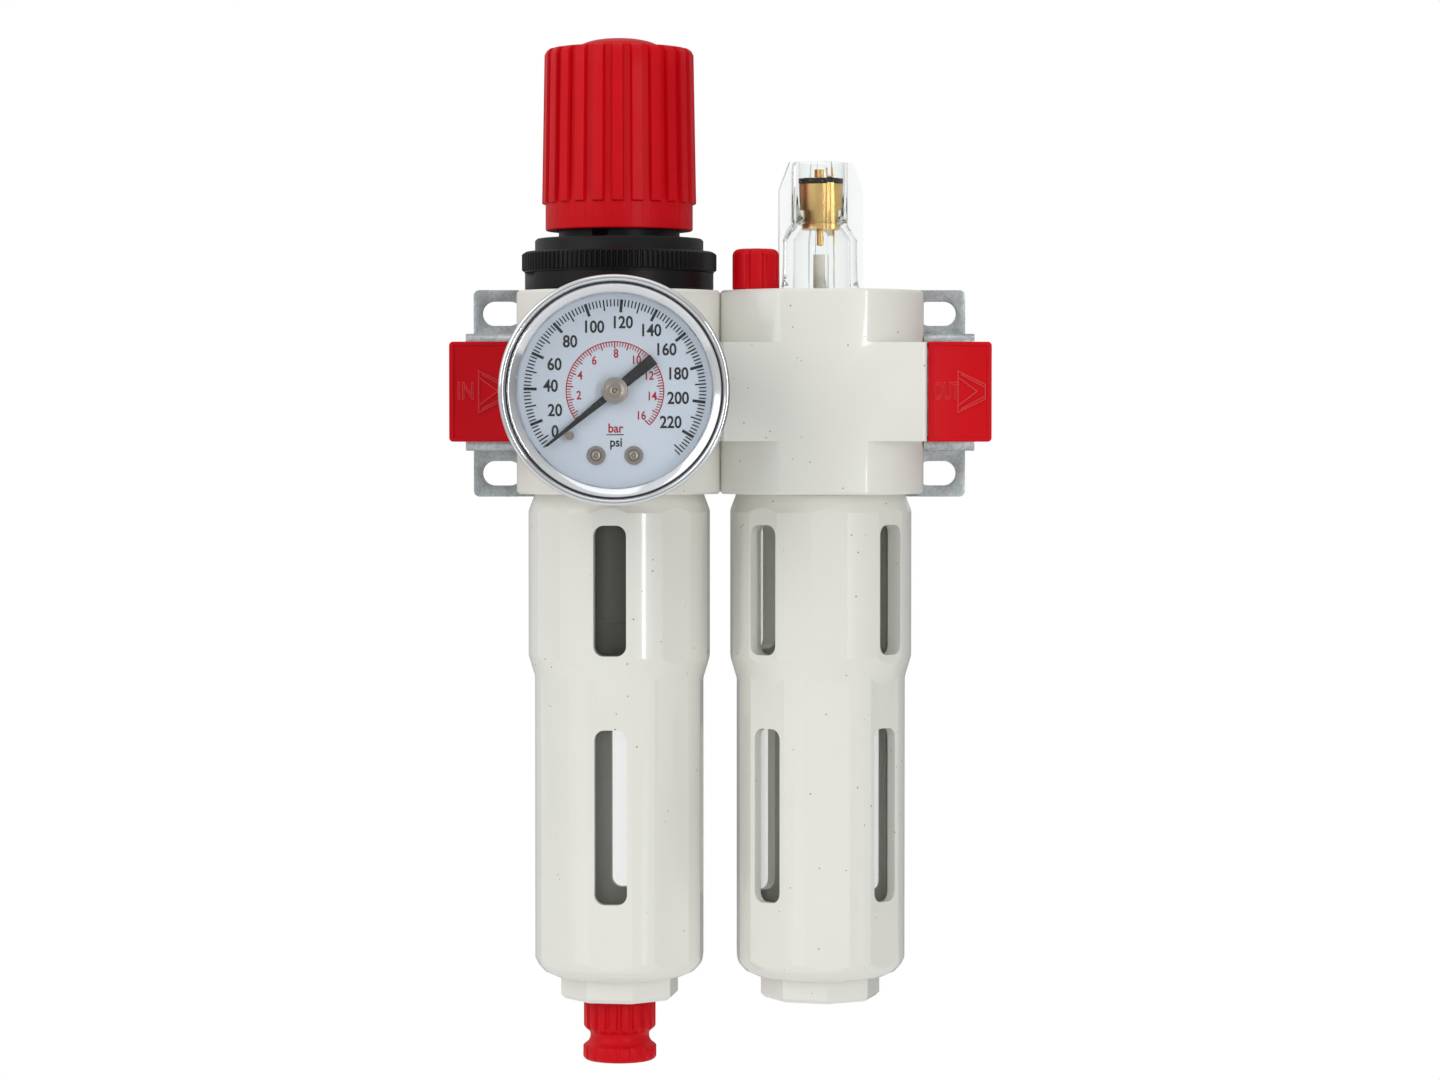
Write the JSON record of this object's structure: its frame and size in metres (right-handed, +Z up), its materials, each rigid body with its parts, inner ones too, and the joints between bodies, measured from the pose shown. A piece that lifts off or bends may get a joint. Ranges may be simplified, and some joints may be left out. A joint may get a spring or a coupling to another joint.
{
  "type": "filter regulator lubricator",
  "caption": "Compressed-air service unit: filter-regulator with pressure gauge and turning knob, and a lubricator with sight dome, in guarded clear bowls.",
  "frame": {"origin": "centre of the four wall slots, on the wall plane, midway between the two modules and at the height of the flow axis", "axes": "+X from inlet to outlet, +Y into the wall, +Z up"},
  "size_m": [0.1052, 0.0695, 0.2029],
  "materials": {
    "cream_paint": "satin gloss powder coat with fine specks",
    "red_plastic": "satin moulded plastic",
    "black_plastic": "moulded",
    "zinc_plate": "bluish zinc plate",
    "steel": "plain",
    "gauge_case_black": "black enamel",
    "chrome": "polished",
    "screw_steel": "turned",
    "dial_face": "printed enamel",
    "pointer_black": "black enamel",
    "brass": "turned",
    "rubber_black": "moulded",
    "clear_bowl": "clear polycarbonate",
    "white_nylon": "moulded nylon",
    "filter_media": "sintered, porous"
  },
  "bodies": {
    "frame": {"regulator_body": "cream_paint", "lubricator_body": "cream_paint", "inlet_port_block": "zinc_plate", "outlet_port_block": "zinc_plate", "inlet_cover": "red_plastic", "outlet_cover": "red_plastic", "tie_rods": "steel", "tie_rod_nuts": "steel", "port_seals": "rubber_black", "bonnet": "black_plastic", "panel_nut": "black_plastic", "range_spring": "steel", "diaphragm": "rubber_black", "valve_seat": "brass", "valve_guide": "black_plastic", "valve_spring": "steel", "air_deflector": "black_plastic", "filter_element": "filter_media", "filter_shroud": "black_plastic", "filter_bolt": "steel", "bowl_seals": "rubber_black", "rear_gauge_plug": "brass", "gauge_socket": "brass", "gauge_case": "gauge_case_black", "gauge_bezel": "chrome", "gauge_inner_ring": "chrome", "gauge_lens": "clear_bowl", "gauge_dial": "dial_face", "gauge_dial_screws": "screw_steel", "gauge_stop_pin": "screw_steel", "bourdon_tube": "brass", "gauge_movement_frame": "brass", "sight_dome": "clear_bowl", "sight_dome_seals": "rubber_black", "feed_valve_body": "brass", "drip_nozzle": "white_nylon", "venturi": "white_nylon", "siphon_tube": "white_nylon", "siphon_strainer": "brass", "check_ball": "steel"},
    "spindle": {"knob_spindle": "steel"},
    "knob": {"pressure_knob": "red_plastic"},
    "spring_nut": {"spring_nut": "brass"},
    "valve": {"diaphragm_plate": "steel", "valve_poppet": "brass"},
    "pointer": {"pointer_shaft": "brass", "gauge_pointer": "pointer_black", "gauge_pointer_hub": "screw_steel"},
    "sector": {"gauge_sector": "brass"},
    "filter_bowl": {"filter_bowl": "clear_bowl"},
    "filter_guard": {"filter_guard": "cream_paint"},
    "drain_stem": {"drain_stem": "white_nylon", "drain_tip_seal": "rubber_black"},
    "drain_knob": {"drain_knob": "red_plastic"},
    "lubricator_bowl": {"lubricator_bowl": "clear_bowl"},
    "lubricator_guard": {"lubricator_guard": "cream_paint"},
    "needle_seal": {"feed_needle_seal": "rubber_black"},
    "needle": {"feed_needle_screw": "brass"},
    "filler_seal": {"filler_seal": "rubber_black"},
    "filler_plug": {"filler_plug": "red_plastic"}
  },
  "joints": [
    {"name": "spindle_turn", "type": "hinge", "parent": "frame", "child": "spindle", "pos_m": [-0.02, -0.022, 0.05], "axis": [0, 0, -1], "range_deg": [0, 1800]},
    {"name": "knob_pull", "type": "slide", "parent": "spindle", "child": "knob", "axis": [0, 0, 1], "range_m": [-0.0015, 0]},
    {"name": "spring_nut_travel", "type": "slide", "parent": "frame", "child": "spring_nut", "axis": [0, 0, -1], "range_m": [0, 0.00501], "deforming": ["range_spring"]},
    {"name": "valve_travel", "type": "slide", "parent": "frame", "child": "valve", "axis": [0, 0, 1], "range_m": [-0.0008, 0], "stiffness_N_per_m": 2000, "springref_m": 0.0002, "deforming": ["valve_spring", "diaphragm"]},
    {"name": "pointer_turn", "type": "hinge", "parent": "frame", "child": "pointer", "pos_m": [-0.02, -0.062, 0], "axis": [0, 1, 0], "range_deg": [0, 264], "stiffness_Nm_per_rad": 0.0002, "springref_deg": -2.86},
    {"name": "sector_turn", "type": "hinge", "parent": "frame", "child": "sector", "pos_m": [-0.02, -0.058, 0.00864], "axis": [0, 1, 0], "range_deg": [-33.1, 0]},
    {"name": "filter_bowl_drop", "type": "slide", "parent": "frame", "child": "filter_bowl", "axis": [0, 0, -1], "range_m": [0, 0.00751]},
    {"name": "filter_guard_turn", "type": "hinge", "parent": "filter_bowl", "child": "filter_guard", "pos_m": [-0.02, -0.022, -0.06], "axis": [0, 0, -1], "range_deg": [0, 1800]},
    {"name": "drain_stem_drop", "type": "slide", "parent": "filter_bowl", "child": "drain_stem", "axis": [0, 0, -1], "range_m": [0, 0.00121]},
    {"name": "drain_turn", "type": "hinge", "parent": "drain_stem", "child": "drain_knob", "pos_m": [-0.02, -0.022, -0.125], "axis": [0, 0, -1], "range_deg": [0, 360]},
    {"name": "lubricator_bowl_drop", "type": "slide", "parent": "frame", "child": "lubricator_bowl", "axis": [0, 0, -1], "range_m": [0, 0.00751]},
    {"name": "lubricator_guard_turn", "type": "hinge", "parent": "lubricator_bowl", "child": "lubricator_guard", "pos_m": [0.02, -0.022, -0.06], "axis": [0, 0, -1], "range_deg": [0, 1800]},
    {"name": "feed_needle_lift", "type": "slide", "parent": "frame", "child": "needle_seal", "axis": [0, 0, 1], "range_m": [0, 0.00101]},
    {"name": "feed_needle_turn", "type": "hinge", "parent": "needle_seal", "child": "needle", "pos_m": [0.02, -0.022, 0.042], "axis": [0, 0, 1], "range_deg": [0, 720]},
    {"name": "filler_plug_lift", "type": "slide", "parent": "frame", "child": "filler_seal", "axis": [0, 0, 1], "range_m": [0, 0.00601]},
    {"name": "filler_plug_turn", "type": "hinge", "parent": "filler_seal", "child": "filler_plug", "pos_m": [0.007, -0.03, 0.024], "axis": [0, 0, 1], "range_deg": [0, 2160]}
  ],
  "couplings": [
    {"joint": "spring_nut_travel", "follows": "spindle_turn", "m_per_rad": 0.00015915},
    {"joint": "sector_turn", "follows": "pointer_turn", "ratio": -0.125},
    {"joint": "filter_bowl_drop", "follows": "filter_guard_turn", "m_per_rad": 0.00023873},
    {"joint": "drain_stem_drop", "follows": "drain_turn", "m_per_rad": 0.00019099},
    {"joint": "lubricator_bowl_drop", "follows": "lubricator_guard_turn", "m_per_rad": 0.00023873},
    {"joint": "feed_needle_lift", "follows": "feed_needle_turn", "m_per_rad": 0.000079577},
    {"joint": "filler_plug_lift", "follows": "filler_plug_turn", "m_per_rad": 0.00015915}
  ]
}
